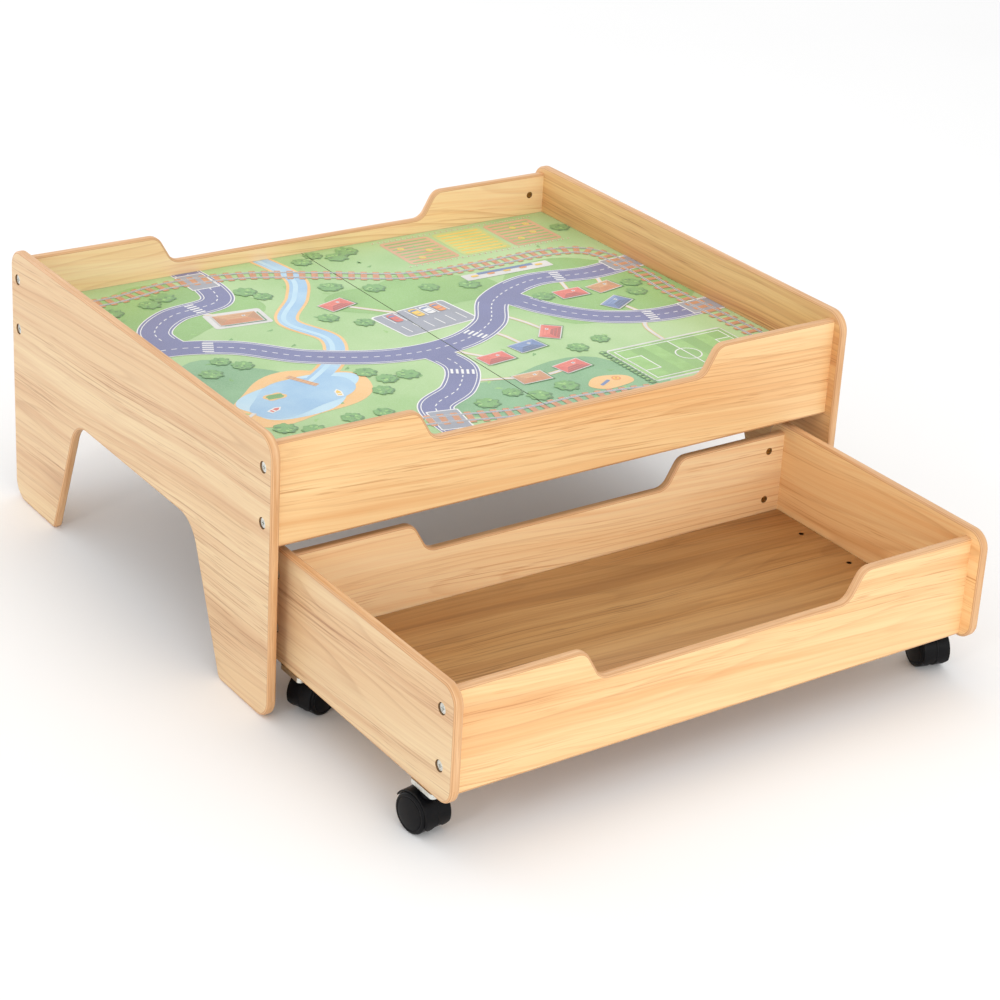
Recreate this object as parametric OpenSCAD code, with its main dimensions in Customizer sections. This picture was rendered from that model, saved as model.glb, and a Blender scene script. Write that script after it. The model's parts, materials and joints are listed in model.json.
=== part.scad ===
// Childrens play table with printed play boards and a rolling storage drawer on four casters.
// The drawer stands pulled out at rest. The origin is on the floor, at the middle of the whole.

/* [Table] */
// Length across the outer faces of the end panels
table_len = 880; // [700:5:1100]
// Depth of the end panels from front edge to back edge
table_dep = 720; // [600:5:900]
// Height of the end panels
table_h = 373; // [360:1:420]
// Thickness of the end panels, rails and drawer panels
panel_t = 12; // [11:0.5:16]
// Radius of the end panels' four outer corners
corner_r = 28; // [10:1:40]
// How far the rails stand in from the end panels' edges
rail_inset = 15; // [5:1:25]
// Height of the rails' lower edge above the floor
rail_low = 225; // [220:1:230]
// How far the rails' upper edge lies below the end panels' top
rail_drop = 11; // [2:1:20]
// Length of the dip in each rail, between the feet of its slopes
rail_dip_len = 415; // [200:5:600]
// Depth of the dips in the rails and in the drawer's front and back
dip_h = 40; // [20:0.5:45]
// Slope of the ends of a dip, in degrees
dip_slope = 60; // [40:1:75]
// Radius of the curves at the ends of a dip
dip_r = 20; // [8:1:22]

/* [Legs] */
// Width of a foot at the floor
foot_w = 124; // [80:1:160]
// Width of a leg at the height of the arch
leg_top_w = 197; // [160:1:230]
// Height of the arch between the legs
arch_h = 186.5; // [150:0.5:205]
// Radius of the arch's upper corners
arch_r = 45; // [20:1:60]
// Radius of a foot's inner corner
foot_r = 9; // [3:1:20]

/* [Play boards] */
// Height of the play surface above the floor
play_h = 300.5; // [295:0.5:310]
// Thickness of the play boards
play_t = 9; // [6:0.5:12]
// Gap between the two boards, and all round them
play_gap = 0.5; // [0.3:0.1:1.5]
// Side of the square cleats that carry the boards
cleat_w = 15; // [12:1:20]
// Width of the support under the seam
support_w = 30; // [20:1:50]
// Height of the support under the seam
support_h = 40; // [28:1:45]

/* [Drawer] */
// Free width beside the drawer on each side when it stands in the middle
drawer_gap = 30.5; // [24:0.5:60]
// Depth of the drawer's side panels
drawer_dep = 413; // [300:1:500]
// Free height between the drawer and the rails
drawer_head = 10; // [6:0.5:22]
// Radius of the side panels' corners
drawer_r = 24; // [6:1:34]
// How far the front and back panels' lower edge lies above the side panels'
front_lift = 3; // [0:0.5:8]
// How far the front and back panels' upper edge lies below the side panels'
front_drop = 11.5; // [2:0.5:14]
// Length of the dip in the front and back panels, between the feet of its slopes
drawer_dip_len = 371; // [150:1:450]
// Depth of the space under the floor board, where the battens are
floor_lift = 17; // [15:1:20]
// Thickness of the drawer's floor board
floor_t = 9; // [6:0.5:12]
// Gap round the floor board
floor_gap = 1.5; // [0.3:0.1:3]
// Width of the battens under the floor board
batten_w = 45; // [40:1:70]
// How far the front and back panels stand in from the side panels' edges
front_inset = 20; // [5:0.5:25]
// How far the drawer's front stands out from the table's
drawer_out = 353; // [300:0.5:420]
// How far the drawer stands to the right of the table's middle
drawer_shift = -14; // [-14:0.5:14]

/* [Bolts, dowels and screws] */
// Diameter of the furniture bolts
bolt_d = 6; // [5:0.5:7]
// Diameter of the bolt heads
head_d = 12.5; // [10:0.5:13.5]
// Thickness of the bolt heads
head_t = 3.5; // [2:0.5:4]
// Diameter of the counterbores for the bolt heads
sink_d = 15; // [14:0.5:17]
// Depth of the counterbores
sink_t = 5; // [4.5:0.5:7]
// Distance from an end panel's outer face to the barrel nuts
bolt_reach = 37; // [33:1:60]
// Height of the upper bolts below the rails' upper edge
rail_bolt_drop = 31; // [20:1:34]
// Height of the upper bolts below the drawer fronts' upper edge
drawer_bolt_drop = 23; // [15:0.5:25]
// Distance between the two bolts of a corner
bolt_pitch = 72; // [50:1:76]
// Diameter of the barrel nuts
barrel_d = 10; // [8:0.5:11]
// Length of the barrel nuts
barrel_l = 9; // [7:0.5:10]
// Wood left between a barrel nut's pocket and the outer face
barrel_skin = 1; // [0.5:0.25:2]
// Diameter of the dowels
dowel_d = 8; // [6:1:9]
// Length of the dowels
dowel_l = 28; // [20:1:40]
// Depth of a dowel's hole in an end panel
dowel_in = 8; // [5:0.5:9]
// Diameter of the wood screws
screw_d = 3.5; // [3:0.1:4]
// Diameter of the wood screws' heads
screw_head_d = 7; // [6:0.1:8]

/* [Casters] */
// Diameter of the wheels
wheel_d = 50; // [40:1:50]
// Width across a caster's two wheels
caster_w = 44; // [36:1:44]
// Gap between the two wheels
wheel_gap = 5; // [4:0.5:8]
// Distance from the kingpin to the axle
trail = 12; // [11:0.5:16]
// Distance from the front kingpins to the side panel's outer face
front_caster_in = 14; // [13.5:0.5:30]
// Distance from the back kingpins to the side panel's outer face
back_caster_in = 25.5; // [25:0.5:35]
// Distance from the kingpin to the side panel's front or back edge
caster_edge = 60; // [50:1:90]
// Length of a caster's plate along the drawer's length
plate_x = 38; // [34:1:40]
// Distance from a front kingpin to its plate's outer edge
plate_pin = 14; // [12:0.5:19]
// Distance from a back kingpin to its plate's inner edge
back_plate_pin = 12.5; // [12.5:0.5:19]
// Length of a caster's plate along the drawer's depth
plate_y = 46; // [38:1:54]
// Thickness of the plate
plate_t = 2; // [1.5:0.25:2.5]
// Depth of the plate's turned-down rim, plate and all
plate_rim = 6; // [4:0.5:7]
// Distance between the plate's screws along the drawer's length
plate_pitch_x = 28; // [24:1:30]
// Distance between the plate's screws along the drawer's depth
plate_pitch_y = 34; // [26:1:40]
// Overall height of a caster
caster_h = 64; // [63:0.5:72]
// Diameter of the kingpin
pin_d = 8; // [6:0.5:9]
// Diameter of the axle
axle_d = 6; // [5:0.5:8]
// Thickness of the hood over the wheels
hood_t = 1.8; // [1.5:0.1:2.2]
// Turn of the front left caster at rest, in degrees
turn_front_left = 8; // [-180:1:180]
// Turn of the front right caster at rest, in degrees
turn_front_right = -14; // [-180:1:180]
// Turn of the back left caster at rest, in degrees
turn_back_left = -72; // [-180:1:180]
// Turn of the back right caster at rest, in degrees
turn_back_right = 24; // [-180:1:180]

/* [Fits] */
// Radial clearance of a shaft that turns in its bore
running = 0.05; // [0.02:0.01:0.1]
// Radial clearance round a bolt, a barrel nut or a dowel
loose = 0.15; // [0.1:0.05:0.4]
// Clearance between faces that move past each other
clear = 0.5; // [0.3:0.1:1]

/* [Hidden] */
$fn = 64;

// The table's middle lies behind the origin by half of what the drawer stands out
table_y = drawer_out / 2;
end_x = table_len / 2;
inner_x = end_x - panel_t;
rail_y = table_dep / 2 - rail_inset;
rail_in_y = rail_y - panel_t;
rail_mid_y = rail_y - panel_t / 2;
rail_top = table_h - rail_drop;

cleat_top = play_h - play_t;
cleat_low = cleat_top - cleat_w;
cleat_mid = cleat_top - cleat_w / 2;

drawer_y = -(table_dep + drawer_out) / 2;
side_x = inner_x - drawer_gap;
side_in_x = side_x - panel_t;
front_in = front_inset + panel_t;
front_mid = front_inset + panel_t / 2;
side_low = caster_h;
side_top = rail_low - drawer_head;
front_low = side_low + front_lift;
front_top = side_top - front_drop;
floor_low = side_low + floor_lift;
floor_top = floor_low + floor_t;

table_bolts_z = [rail_top - rail_bolt_drop, rail_top - rail_bolt_drop - bolt_pitch];
drawer_bolts_z = [front_top - drawer_bolt_drop, front_top - drawer_bolt_drop - bolt_pitch];
head_top = sink_t - head_t;
bolt_past = 8;
drive_w = 1.4;
drive_l = 6;
drive_t = 1.2;
slot_w = 1.2;
slot_t = 1;
dowel_out = dowel_l - dowel_in;
dowel_slack = 1;
screw_bite = 7;
screw_head_t = 2.2;
screw_margin = 60;
rail_screws = 4;
end_screws = 3;
floor_margin = 110;
floor_screw_l = 20;
plate_screw_l = 14;
plate_head_t = 1.6;

wheel_r = wheel_d / 2;
wheel_in = wheel_gap / 2;
wheel_out = caster_w / 2;
axle_r = axle_d / 2;
axle_end = wheel_out - 5;
tread_r = 3;
tread_out = wheel_out - 2;
disc_r = wheel_r - 3.5;
dome_r = 110;
hub_r = axle_r + 4;
rim_t = 4;
wheel_hollow = 9;
pin_r = pin_d / 2;
hood_gap = 1.2;
hood_in_r = wheel_r + hood_gap;
hood_r = hood_in_r + hood_t;
hood_half = wheel_out - 3.5;
hood_back = 30;
hood_front = 207;
web_back = 50;
web_front = 190;
web_t = wheel_gap - 2 * clear;
collar_wall = 3.5;
collar_t = 2.7;
neck_wall = 6;
neck_foot_wall = 9;
collar_r = pin_r + collar_wall;
collar_low = caster_h - plate_t - collar_t;
neck_r = pin_r + neck_wall;
neck_foot_r = pin_r + neck_foot_wall;
neck_low = wheel_r + 4;
neck_top = collar_low - clear;
pin_reach = 9.5;
pin_low = neck_top - pin_reach;
ring_up = 2;
ring_z = pin_low + ring_up;
ring_t = 1.5;
ring_out = 0.6;
plate_r = 5;
plate_wall = 1.4;

front_left = [-1, 0, turn_front_left];
front_right = [1, 0, turn_front_right];
back_left = [-1, 1, turn_back_left];
back_right = [1, 1, turn_back_right];
casters = [front_left, front_right, back_left, back_right];

laminate = "#f2cb95";
pine = "#e3c08a";
beech = "#d9b98a";
board_green = "#9cc27c";
floor_brown = "#b98d56";
zinc = "#c9ccd0";
black = "#1d1d20";
steel = "#a5a8ac";

function unit(v) = v / norm(v);

// Middle of the arc of radius r that rounds corner b of the outline a, b, c
function arc_middle(a, b, c, r) =
    let (u = unit(a - b), v = unit(c - b)) b + unit(u + v) * r / sin(acos(u * v) / 2);

// Where that arc meets the edge from b towards a
function arc_end(a, b, c, r) =
    let (u = unit(a - b), v = unit(c - b)) b + u * r / tan(acos(u * v) / 2);

function is_hollow(a, b, c, r) = r > 0 && cross(b - a, c - b) < 0;

// Outline through the corners p, anticlockwise, each rounded by its radius in r
module rounded(p, r) {
    n = len(p);
    difference() {
        polygon([for (i = [0:n - 1]) let (a = p[(i + n - 1) % n], b = p[i], c = p[(i + 1) % n])
            each is_hollow(a, b, c, r[i])
                ? [arc_end(a, b, c, r[i]), arc_middle(a, b, c, r[i]), arc_end(c, b, a, r[i])] : [b]]);
        for (i = [0:n - 1]) let (a = p[(i + n - 1) % n], b = p[i], c = p[(i + 1) % n])
            if (r[i] > 0) {
                middle = arc_middle(a, b, c, r[i]);
                if (is_hollow(a, b, c, r[i])) translate(middle) circle(r[i]);
                else difference() {
                    polygon([middle, arc_end(a, b, c, r[i]), b + (b - middle) / 4, arc_end(c, b, a, r[i])]);
                    translate(middle) circle(r[i]);
                }
            }
    }
}

function even(from, to, count) = [for (i = [0:count - 1]) from + (to - from) * i / (count - 1)];

// Extrudes an outline drawn in Y and Z along X
module slab_x(x, t) {
    translate([x, 0, 0]) rotate([90, 0, 90]) linear_extrude(t) children();
}

// Extrudes an outline drawn in X and Z along Y
module slab_y(y, t) {
    translate([0, y + t, 0]) rotate([90, 0, 0]) linear_extrude(t) children();
}

module box(low, high) {
    translate(low) cube(high - low);
}

module rod_x(p, r, l) {
    translate(p) rotate([0, 90, 0]) cylinder(r = r, h = l, center = true);
}

// Cylinder from point p, l long, towards Y * side
module rod_y(p, r, l, side = 1) {
    translate(p) rotate([-90 * side, 0, 0]) cylinder(r = r, h = l);
}

// Countersunk screw: its head's face is at the origin and it points to -Z
module wood_screw(l) {
    translate([0, 0, -l]) cylinder(d = screw_d, h = l);
    translate([0, 0, -screw_head_t]) cylinder(d1 = screw_d, d2 = screw_head_d, h = screw_head_t);
}

module table_frame() {
    translate([0, table_y, 0]) children();
}

module drawer_frame() {
    translate([drawer_shift, drawer_y, 0]) children();
}

// Bolt on the left (side -1) or right (side 1) face x, at the heights z, in rows y
module bolt_set(x, rows, heights, side) {
    for (y = rows, z = heights) translate([side * x, y, z]) rotate([0, -90 * side, 0]) {
        translate([0, 0, sink_t]) cylinder(d = bolt_d, h = bolt_reach + bolt_past - sink_t);
        difference() {
            translate([0, 0, head_top]) cylinder(d = head_d, h = head_t);
            for (a = [0, 90]) rotate([0, 0, a])
                translate([-drive_l / 2, -drive_w / 2, head_top - clear]) cube([drive_l, drive_w, drive_t + clear]);
        }
    }
}

// What the bolts and dowels take out of an end panel, at x, and of the ends of the rails
module bolt_cuts(x, rows, heights) {
    for (side = [-1, 1], y = rows) {
        for (z = heights) translate([side * x, y, z]) rotate([0, -90 * side, 0]) {
            translate([0, 0, -clear]) cylinder(d = sink_d, h = sink_t + clear);
            cylinder(r = bolt_d / 2 + loose, h = bolt_reach + bolt_past + dowel_slack);
        }
        translate([side * (x - panel_t + dowel_in), y, (heights[0] + heights[1]) / 2]) rotate([0, -90 * side, 0])
            translate([0, 0, -dowel_slack]) cylinder(r = dowel_d / 2 + loose, h = dowel_l + 2 * dowel_slack);
    }
}

module dowel_set(x, rows, heights) {
    for (side = [-1, 1], y = rows)
        rod_x([side * (x - panel_t + dowel_in - dowel_l / 2), y, (heights[0] + heights[1]) / 2], dowel_d / 2,
              dowel_l);
}

// Barrel nuts of the panel whose inner face is at y, seen from side
module barrel_set(x, y, heights, side) {
    for (s = [-1, 1], z = heights) translate([s * (x - bolt_reach), y - side * panel_t / 2, z])
        difference() {
            rotate([90, 0, 0]) cylinder(d = barrel_d, h = barrel_l, center = true);
            rod_x([0, 0, 0], bolt_d / 2 + running, barrel_d);
            translate([0, side * barrel_l / 2, 0]) cube([barrel_d, 2 * slot_t, slot_w], center = true);
        }
}

module barrel_cuts(x, y, heights, side) {
    for (s = [-1, 1], z = heights)
        rod_y([s * (x - bolt_reach), y - side * (panel_t - barrel_skin), z], barrel_d / 2 + loose, panel_t, side);
}

// Screws through the cleats into the rails and end panels
module cleat_screw_set() {
    for (side = [-1, 1]) {
        for (x = even(screw_margin - inner_x, inner_x - screw_margin, rail_screws))
            translate([x, side * (rail_in_y - cleat_w), cleat_mid]) rotate([90 * side, 0, 0])
                wood_screw(cleat_w + screw_bite);
        for (y = even(screw_margin - rail_in_y, rail_in_y - screw_margin, end_screws))
            translate([side * (inner_x - cleat_w), y, cleat_mid]) rotate([0, -90 * side, 0])
                wood_screw(cleat_w + screw_bite);
        translate([0, side * (rail_in_y - cleat_w / 2), cleat_top - support_h]) rotate([180, 0, 0])
            wood_screw(support_h - cleat_w / 2);
    }
}

module floor_screw_set() {
    for (side = [-1, 1], y = even(floor_margin, drawer_dep - floor_margin, end_screws))
        translate([side * (side_in_x - batten_w / 2), y, floor_top]) wood_screw(floor_screw_l);
}

module plate_screw_set() {
    for (c = casters, i = [-1, 1], j = [-1, 1])
        translate([pin_x(c) + plate_mid(c) + i * plate_pitch_x / 2, pin_y(c) + j * plate_pitch_y / 2,
                   caster_h - plate_t]) {
            cylinder(d = screw_d, h = plate_t + plate_screw_l);
            translate([0, 0, -plate_head_t]) cylinder(d1 = screw_head_d - 2, d2 = screw_head_d, h = plate_head_t);
        }
}

module end_panel(side) {
    d = table_dep / 2;
    color(laminate) table_frame() difference() {
        slab_x(side > 0 ? inner_x : -end_x, panel_t) rounded(
            [[-d, 0], [foot_w - d, 0], [leg_top_w - d, arch_h], [d - leg_top_w, arch_h],
             [d - foot_w, 0], [d, 0], [d, table_h], [-d, table_h]],
            [corner_r, foot_r, arch_r, arch_r, foot_r, corner_r, corner_r, corner_r]);
        bolt_cuts(end_x, [-rail_mid_y, rail_mid_y], table_bolts_z);
        cleat_screw_set();
    }
}

// Outline of a rail or drawer front with a dip in its upper edge
module dipped(half, low, top, dip_len) {
    foot = dip_len / 2;
    rise = foot + dip_h / tan(dip_slope);
    rounded(
        [[-half, low], [half, low], [half, top], [rise, top], [foot, top - dip_h], [-foot, top - dip_h],
         [-rise, top], [-half, top]],
        [0, 0, 0, dip_r, dip_r, dip_r, dip_r, 0]);
}

module rail(side) {
    color(laminate) table_frame() difference() {
        slab_y(side > 0 ? rail_in_y : -rail_y, panel_t) dipped(inner_x, rail_low, rail_top, rail_dip_len);
        bolt_cuts(end_x, [side * rail_mid_y], table_bolts_z);
        barrel_cuts(end_x, side * rail_in_y, table_bolts_z, -side);
        cleat_screw_set();
    }
}

module play_board(side) {
    x = inner_x - play_gap;
    y = rail_in_y - play_gap;
    color(board_green) table_frame()
        box([side > 0 ? play_gap / 2 : -x, -y, cleat_top], [side > 0 ? x : -play_gap / 2, y, play_h]);
}

module centre_support() {
    color(pine) table_frame() difference() {
        box([-support_w / 2, -rail_in_y, cleat_top - support_h], [support_w / 2, rail_in_y, cleat_top]);
        for (side = [-1, 1]) translate([0, side * rail_in_y, cleat_low + support_h / 2])
            cube([support_w * 2, 2 * cleat_w, support_h], center = true);
        cleat_screw_set();
    }
}

module long_cleat(side) {
    x = inner_x - cleat_w;
    y = side > 0 ? rail_in_y - cleat_w : -rail_in_y;
    color(pine) table_frame() difference() {
        box([-x, y, cleat_low], [x, y + cleat_w, cleat_top]);
        cleat_screw_set();
    }
}

module end_cleat(side) {
    x = side > 0 ? inner_x - cleat_w : -inner_x;
    color(pine) table_frame() difference() {
        box([x, -rail_in_y, cleat_low], [x + cleat_w, rail_in_y, cleat_top]);
        cleat_screw_set();
    }
}

module cleat_screws() {
    color(zinc) table_frame() cleat_screw_set();
}

module table_bolts(side) {
    color(zinc) table_frame() bolt_set(end_x, [-rail_mid_y, rail_mid_y], table_bolts_z, side);
}

module table_barrel_nuts(side) {
    color(steel) table_frame() barrel_set(end_x, side * rail_in_y, table_bolts_z, -side);
}

module table_dowels() {
    color(beech) table_frame() dowel_set(end_x, [-rail_mid_y, rail_mid_y], table_bolts_z);
}

module drawer_side_panel(side) {
    color(laminate) drawer_frame() difference() {
        slab_x(side > 0 ? side_in_x : -side_x, panel_t) rounded(
            [[0, side_low], [drawer_dep, side_low], [drawer_dep, side_top], [0, side_top]],
            [drawer_r, drawer_r, drawer_r, drawer_r]);
        bolt_cuts(side_x, [front_mid, drawer_dep - front_mid], drawer_bolts_z);
        plate_screw_set();
    }
}

module drawer_cross_panel(back) {
    y = back ? drawer_dep - front_inset : front_inset;
    inner = back ? y - panel_t : y + panel_t;
    side = back ? -1 : 1;
    color(laminate) drawer_frame() difference() {
        slab_y(min(y, inner), panel_t) dipped(side_in_x, front_low, front_top, drawer_dip_len);
        bolt_cuts(side_x, [(y + inner) / 2], drawer_bolts_z);
        barrel_cuts(side_x, inner, drawer_bolts_z, side);
    }
}

module drawer_floor() {
    x = side_in_x - floor_gap;
    color(floor_brown) drawer_frame() difference() {
        box([-x, front_in + floor_gap, floor_low], [x, drawer_dep - front_in - floor_gap, floor_top]);
        floor_screw_set();
    }
}

module caster_batten(side) {
    x = side > 0 ? side_in_x - batten_w : -side_in_x;
    color(pine) drawer_frame() difference() {
        box([x, front_in, side_low], [x + batten_w, drawer_dep - front_in, floor_low]);
        floor_screw_set();
        plate_screw_set();
    }
}

module floor_screws() {
    color(zinc) drawer_frame() floor_screw_set();
}

module drawer_bolts(side) {
    color(zinc) drawer_frame() bolt_set(side_x, [front_mid, drawer_dep - front_mid], drawer_bolts_z, side);
}

module drawer_barrel_nuts(back) {
    y = back ? drawer_dep - front_in : front_in;
    color(steel) drawer_frame() barrel_set(side_x, y, drawer_bolts_z, back ? -1 : 1);
}

module drawer_dowels() {
    color(beech) drawer_frame() dowel_set(side_x, [front_mid, drawer_dep - front_mid], drawer_bolts_z);
}

// A caster c is [left or right, front or back, turn]
function plate_mid(c) = c[0] * (c[1] > 0 ? plate_x / 2 - back_plate_pin : plate_pin - plate_x / 2);
function pin_x(c) = c[0] * (side_x - (c[1] > 0 ? back_caster_in : front_caster_in));
function pin_y(c) = c[1] > 0 ? drawer_dep - caster_edge : caster_edge;

module caster_frame(c) {
    drawer_frame() translate([pin_x(c), pin_y(c), 0]) children();
}

module swivel_frame(c) {
    caster_frame(c) rotate([0, 0, c[2]]) children();
}

module caster_screws() {
    color(zinc) drawer_frame() plate_screw_set();
}

module plate_outline(x, y, r) {
    rounded([[-x, -y], [x, -y], [x, y], [-x, y]], [r, r, r, r]);
}

// Stamped plate with a rim turned down all round it
module caster_plate(c) {
    x = plate_x / 2;
    y = plate_y / 2;
    color(zinc) caster_frame(c) difference() {
        translate([plate_mid(c), 0, caster_h - plate_rim]) linear_extrude(plate_rim)
            plate_outline(x, y, plate_r);
        translate([plate_mid(c), 0, caster_h - plate_rim - plate_t]) linear_extrude(plate_rim)
            plate_outline(x - plate_wall, y - plate_wall, plate_r - plate_wall);
        cylinder(r = pin_r, h = caster_h + plate_t);
        for (i = [-1, 1], j = [-1, 1])
            translate([plate_mid(c) + i * plate_pitch_x / 2, j * plate_pitch_y / 2, 0])
                cylinder(d = screw_d, h = caster_h + plate_t);
    }
}

// Kingpin riveted to the plate, with a collar above the hood and a ring that holds the hood on
module kingpin(c) {
    color(steel) caster_frame(c) {
        translate([0, 0, pin_low]) cylinder(r = pin_r, h = caster_h - pin_low);
        translate([0, 0, collar_low]) cylinder(r = collar_r, h = caster_h - plate_t - collar_low);
        translate([0, 0, ring_z]) cylinder(r = pin_r + ring_out, h = ring_t);
    }
}

// Part of a ring about the axle, between the angles from and to, drawn in Y and Z
module sector(inner, outer, from, to) {
    translate([trail, wheel_r]) difference() {
        intersection() {
            circle(outer);
            polygon([[0, 0], for (a = even(from, to, 5)) 2 * outer * [cos(a), sin(a)]]);
        }
        circle(inner);
    }
}

// Hood: fender over both wheels, web between them that holds the axle, neck on the kingpin
module hood(c) {
    color(black) swivel_frame(c) difference() {
        union() {
            slab_x(-hood_half, 2 * hood_half) sector(hood_in_r - clear, hood_r, hood_back, hood_front);
            slab_x(-web_t / 2, web_t) sector(axle_r, hood_r - hood_t / 2, web_back, web_front);
            rod_x([0, trail, wheel_r], hub_r, web_t);
            difference() {
                translate([0, 0, neck_low]) cylinder(r1 = neck_foot_r, r2 = neck_r, h = neck_top - neck_low);
                rod_x([0, trail, wheel_r], hood_in_r, caster_w);
            }
        }
        for (side = [-1, 1]) rod_x([side * (web_t + caster_w) / 2, trail, wheel_r], hood_in_r, caster_w);
        rod_x([0, trail, wheel_r], axle_r, caster_w);
        translate([0, 0, pin_low - clear]) cylinder(r = pin_r + running, h = caster_h);
        translate([0, 0, ring_z - clear]) cylinder(r = pin_r + ring_out + clear, h = ring_t + 2 * clear);
    }
}

module axle(c) {
    color(steel) swivel_frame(c) rod_x([0, trail, wheel_r], axle_r, 2 * axle_end);
}

// Half section of a wheel: distance from the axle, then distance from the caster's middle
module wheel_section() {
    difference() {
        intersection() {
            union() {
                rounded([[0, wheel_in], [wheel_r, wheel_in], [wheel_r, tread_out], [0, tread_out]],
                        [0, tread_r, tread_r, 0]);
                square([disc_r, wheel_out]);
            }
            translate([0, wheel_out - dome_r]) circle(dome_r, $fn = 4 * $fn);
        }
        square([hub_r, 2 * wheel_in], center = true);
        translate([-1, 0]) square([axle_r + running + 1, axle_end + clear]);
        translate([hub_r, 0]) square([wheel_r - rim_t - hub_r, wheel_in + wheel_hollow]);
        translate([0, 0]) square([wheel_r, wheel_in]);
    }
}

module wheel(c, side) {
    color(black) swivel_frame(c) translate([0, trail, wheel_r]) rotate([0, 90 * side, 0])
        rotate_extrude() wheel_section();
}

end_panel(-1);  // left_end_panel
end_panel(1);  // right_end_panel
rail(-1);  // front_rail
rail(1);  // back_rail
play_board(-1);  // play_board_left
play_board(1);  // play_board_right
centre_support();
long_cleat(-1);  // front_cleat
long_cleat(1);  // back_cleat
end_cleat(-1);  // left_cleat
end_cleat(1);  // right_cleat
cleat_screws();
table_bolts(-1);  // table_bolts_left
table_bolts(1);  // table_bolts_right
table_barrel_nuts(-1);  // table_barrel_nuts_front
table_barrel_nuts(1);  // table_barrel_nuts_back
table_dowels();
drawer_side_panel(-1);  // drawer_left_panel
drawer_side_panel(1);  // drawer_right_panel
drawer_cross_panel(false);  // drawer_front_panel
drawer_cross_panel(true);  // drawer_back_panel
drawer_floor();
caster_batten(-1);  // caster_batten_left
caster_batten(1);  // caster_batten_right
floor_screws();
drawer_bolts(-1);  // drawer_bolts_left
drawer_bolts(1);  // drawer_bolts_right
drawer_barrel_nuts(false);  // drawer_barrel_nuts_front
drawer_barrel_nuts(true);  // drawer_barrel_nuts_back
drawer_dowels();
caster_screws();
caster_plate(front_left);  // front_left_caster_plate
kingpin(front_left);  // front_left_kingpin
hood(front_left);  // front_left_hood
axle(front_left);  // front_left_axle
wheel(front_left, -1);  // front_left_wheel_outer
wheel(front_left, 1);  // front_left_wheel_inner
caster_plate(front_right);  // front_right_caster_plate
kingpin(front_right);  // front_right_kingpin
hood(front_right);  // front_right_hood
axle(front_right);  // front_right_axle
wheel(front_right, 1);  // front_right_wheel_outer
wheel(front_right, -1);  // front_right_wheel_inner
caster_plate(back_left);  // back_left_caster_plate
kingpin(back_left);  // back_left_kingpin
hood(back_left);  // back_left_hood
axle(back_left);  // back_left_axle
wheel(back_left, -1);  // back_left_wheel_outer
wheel(back_left, 1);  // back_left_wheel_inner
caster_plate(back_right);  // back_right_caster_plate
kingpin(back_right);  // back_right_kingpin
hood(back_right);  // back_right_hood
axle(back_right);  // back_right_axle
wheel(back_right, 1);  // back_right_wheel_outer
wheel(back_right, -1);  // back_right_wheel_inner
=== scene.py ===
import json
import math
import random

import bmesh
import bpy
from mathutils import Matrix, Vector
from mathutils.geometry import tessellate_polygon


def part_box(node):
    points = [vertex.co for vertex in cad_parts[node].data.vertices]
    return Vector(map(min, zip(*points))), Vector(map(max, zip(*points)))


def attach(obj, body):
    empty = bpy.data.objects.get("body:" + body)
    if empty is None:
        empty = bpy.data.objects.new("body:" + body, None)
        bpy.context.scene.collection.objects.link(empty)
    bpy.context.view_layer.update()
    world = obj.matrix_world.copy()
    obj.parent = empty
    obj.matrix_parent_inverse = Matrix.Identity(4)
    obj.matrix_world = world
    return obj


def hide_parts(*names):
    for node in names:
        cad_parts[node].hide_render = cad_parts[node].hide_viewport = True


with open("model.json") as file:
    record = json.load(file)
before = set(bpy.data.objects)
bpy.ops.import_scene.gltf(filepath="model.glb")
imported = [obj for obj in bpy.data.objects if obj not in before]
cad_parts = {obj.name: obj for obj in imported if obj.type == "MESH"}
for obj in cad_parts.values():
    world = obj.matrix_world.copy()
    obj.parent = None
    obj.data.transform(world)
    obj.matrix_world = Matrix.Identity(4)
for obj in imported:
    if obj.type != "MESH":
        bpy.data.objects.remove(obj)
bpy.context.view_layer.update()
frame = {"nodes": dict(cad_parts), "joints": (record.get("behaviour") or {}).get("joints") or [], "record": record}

# Lengths below are in millimetres unless a comment says otherwise
MM = 0.001
BOARD_T = 12.0                         # thickness of the boards
EDGE_R = 3.2                           # radius of their rounded edges
TABLE_Y = 176.5                        # the table's middle
TABLE_HALF_X, TABLE_HALF_Y, TABLE_H = 440.0, 360.0, 373.0
DRAWER_X, DRAWER_Y = -14.0, -536.5     # the drawer's middle in x, its front edges in y
DRAWER_HALF_X, DRAWER_DEPTH = 397.5, 413.0


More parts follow.
